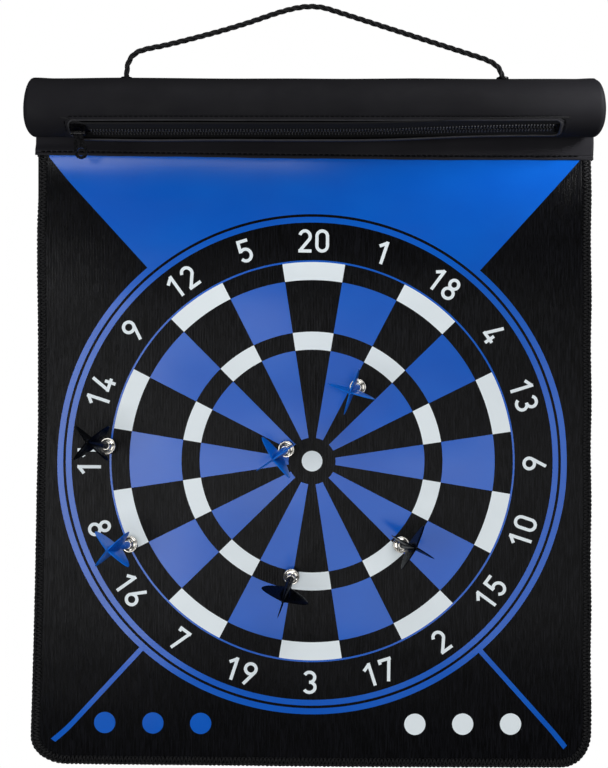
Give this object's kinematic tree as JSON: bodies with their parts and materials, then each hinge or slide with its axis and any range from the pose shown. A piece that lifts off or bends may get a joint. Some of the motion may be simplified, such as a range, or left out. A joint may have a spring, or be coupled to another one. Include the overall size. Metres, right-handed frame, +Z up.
{
  "type": "magnetic dartboard",
  "caption": "Flexible magnetic dartboard with a printed target face, hung by a cord from a round zipped pouch, with magnet-tipped darts standing on it.",
  "frame": {"origin": "where the nail holds the cord, at the underside of the cord's highest point", "axes": "+X to the right of a person facing the board, +Y into the wall, +Z up"},
  "size_m": [0.374, 0.0475, 0.5049],
  "materials": {
    "leather_cloth": "satin coated leather cloth with a fine grain",
    "stiffener_board": "matte sheet",
    "zip_tape": "woven tape",
    "zip_teeth": "moulded nylon",
    "black_metal": "black enamel",
    "cord": "twisted cord",
    "thread": "polyester thread",
    "printed_cloth": "satin printed cloth",
    "magnetic_rubber": "matte",
    "backing": "fine textured film",
    "chrome": "polished",
    "blue_plastic": "gloss",
    "black_plastic": "gloss",
    "blue_flight": "satin moulded fins",
    "black_flight": "satin moulded fins"
  },
  "bodies": {
    "pouch": {"pouch_shell": "leather_cloth", "pouch_stiffener": "stiffener_board", "pouch_end_left": "leather_cloth", "pouch_end_right": "leather_cloth", "neck_upper": "leather_cloth", "zip_window_binding": "leather_cloth", "zip_tape_upper": "zip_tape", "zip_tape_lower": "zip_tape", "zip_teeth_upper": "zip_teeth", "zip_teeth_lower": "zip_teeth", "zip_stop_open_end": "zip_teeth", "zip_stops_closed_end": "zip_teeth", "eyelet_left": "black_metal", "eyelet_right": "black_metal", "hanging_cord": "cord", "cord_knot_left": "cord", "cord_knot_right": "cord"},
    "board": {"header_strip_front": "leather_cloth", "header_strip_rear": "leather_cloth", "header_stitching": "thread", "printed_face": "printed_cloth", "magnetic_sheet": "magnetic_rubber", "backing_film": "backing", "edge_overlock": "thread"},
    "zip_slider": {"slider_body": "black_metal", "slider_crown": "black_metal"},
    "zip_pull": {"pull_tab": "black_metal"},
    "dart_1": {"dart_1_magnet": "chrome", "dart_1_cup": "chrome", "dart_1_barrel": "blue_plastic", "dart_1_flight": "blue_flight"},
    "dart_2": {"dart_2_magnet": "chrome", "dart_2_cup": "chrome", "dart_2_barrel": "blue_plastic", "dart_2_flight": "blue_flight"},
    "dart_3": {"dart_3_magnet": "chrome", "dart_3_cup": "chrome", "dart_3_barrel": "blue_plastic", "dart_3_flight": "blue_flight"},
    "dart_4": {"dart_4_magnet": "chrome", "dart_4_cup": "chrome", "dart_4_barrel": "black_plastic", "dart_4_flight": "black_flight"},
    "dart_5": {"dart_5_magnet": "chrome", "dart_5_cup": "chrome", "dart_5_barrel": "black_plastic", "dart_5_flight": "black_flight"},
    "dart_6": {"dart_6_magnet": "chrome", "dart_6_cup": "chrome", "dart_6_barrel": "black_plastic", "dart_6_flight": "black_flight"}
  },
  "joints": [
    {"name": "board_fold", "type": "hinge", "parent": "pouch", "child": "board", "pos_m": [0, 0.0023, -0.0925], "axis": [1, 0, 0], "range_deg": [-45, 100]},
    {"name": "zip_run", "type": "slide", "parent": "pouch", "child": "zip_slider", "axis": [1, 0, 0], "range_m": [0, 0.297]},
    {"name": "pull_swing", "type": "hinge", "parent": "zip_slider", "child": "zip_pull", "pos_m": [-0.151, -0.02538, -0.08844], "axis": [1, 0, 0], "range_deg": [-120, 45]},
    {"name": "dart_1_lift", "type": "slide", "parent": "board", "child": "dart_1", "axis": [-0.1729, -0.9811, -0.0864], "range_m": [0, 0.08]},
    {"name": "dart_2_lift", "type": "slide", "parent": "board", "child": "dart_2", "axis": [-0.1884, -0.9768, -0.1023], "range_m": [0, 0.08]},
    {"name": "dart_3_lift", "type": "slide", "parent": "board", "child": "dart_3", "axis": [-0.1824, -0.9819, 0.0514], "range_m": [0, 0.08]},
    {"name": "dart_4_lift", "type": "slide", "parent": "board", "child": "dart_4", "axis": [0.1407, -0.9849, 0.1008], "range_m": [0, 0.08]},
    {"name": "dart_5_lift", "type": "slide", "parent": "board", "child": "dart_5", "axis": [-0.1159, -0.974, -0.1948], "range_m": [0, 0.08]},
    {"name": "dart_6_lift", "type": "slide", "parent": "board", "child": "dart_6", "axis": [-0.1336, -0.9841, 0.1172], "range_m": [0, 0.08]}
  ]
}
